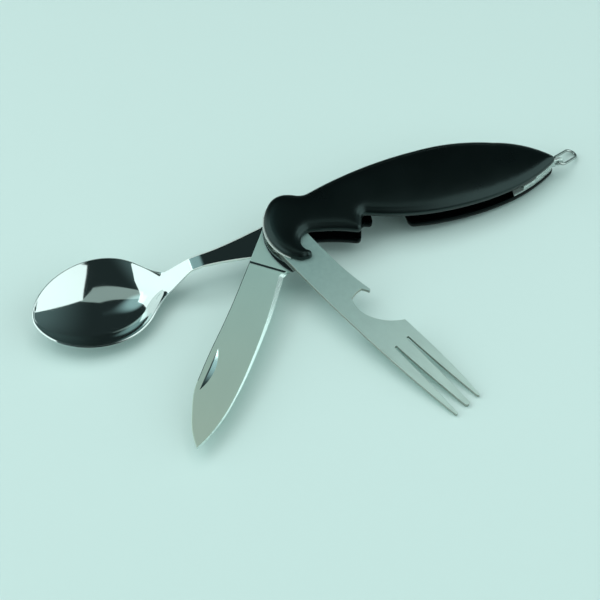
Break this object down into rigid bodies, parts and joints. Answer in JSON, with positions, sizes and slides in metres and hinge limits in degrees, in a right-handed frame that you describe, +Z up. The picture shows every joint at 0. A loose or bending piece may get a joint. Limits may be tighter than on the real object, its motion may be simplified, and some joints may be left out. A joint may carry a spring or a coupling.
{
  "type": "folding camping cutlery tool",
  "caption": "Folding camp cutlery: spoon, knife and fork with a bottle opener fan out on one pivot from a black handle with a wire ring at its tail.",
  "frame": {"origin": "on the tools' pivot axis, on the flat outer face of the lower cover; the object lies as it rests on a level surface, with its lowest points at Z = -7.8 mm", "axes": "+Z up from the surface it rests on; +X along the handle from pivot to tail, which leans 4.3 degrees down; +Y to the handle's closed back, which leans 8 degrees up"},
  "size_m": [0.2142, 0.1072, 0.0215],
  "materials": {
    "upper_cover": "satin",
    "lower_cover": "satin",
    "fork": "brushed",
    "knife": "satin",
    "spoon": "polished",
    "upper_liner": "satin",
    "lower_liner": "satin",
    "fork_spring": "satin",
    "knife_spring": "satin",
    "spoon_spring": "satin",
    "pivot_pin": "satin",
    "middle_pin": "satin",
    "tail_pin": "satin",
    "upper_washer": "satin",
    "lower_washer": "satin",
    "tail_eye": "satin",
    "tail_ring": "satin"
  },
  "bodies": {
    "handle": {"upper_cover": "upper_cover", "lower_cover": "lower_cover", "upper_liner": "upper_liner", "lower_liner": "lower_liner", "fork_spring": "fork_spring", "knife_spring": "knife_spring", "spoon_spring": "spoon_spring", "pivot_pin": "pivot_pin", "middle_pin": "middle_pin", "tail_pin": "tail_pin", "upper_washer": "upper_washer", "lower_washer": "lower_washer", "tail_eye": "tail_eye"},
    "fork": {"fork": "fork"},
    "knife": {"knife": "knife"},
    "spoon": {"spoon": "spoon"},
    "ring": {"tail_ring": "tail_ring"}
  },
  "joints": [
    {"name": "fork_fold", "type": "hinge", "parent": "handle", "child": "fork", "pos_m": [0.00057, -0.00106, 0.0075], "axis": [0.0748, -0.1397, 0.9874], "range_deg": [-116.5, 63.5]},
    {"name": "knife_fold", "type": "hinge", "parent": "handle", "child": "knife", "pos_m": [0.0004, -0.00075, 0.00533], "axis": [0.0748, -0.1397, 0.9874], "range_deg": [-55.5, 124.5]},
    {"name": "spoon_fold", "type": "hinge", "parent": "handle", "child": "spoon", "pos_m": [0.00027, -0.0005, 0.00356], "axis": [0.0748, -0.1397, 0.9874], "range_deg": [-3, 177]},
    {"name": "ring_swing", "type": "hinge", "parent": "handle", "child": "ring", "pos_m": [0.10809, 0.00119, -0.00158], "axis": [-0.5045, 0.8488, 0.1583], "range_deg": [-115, 55]}
  ]
}
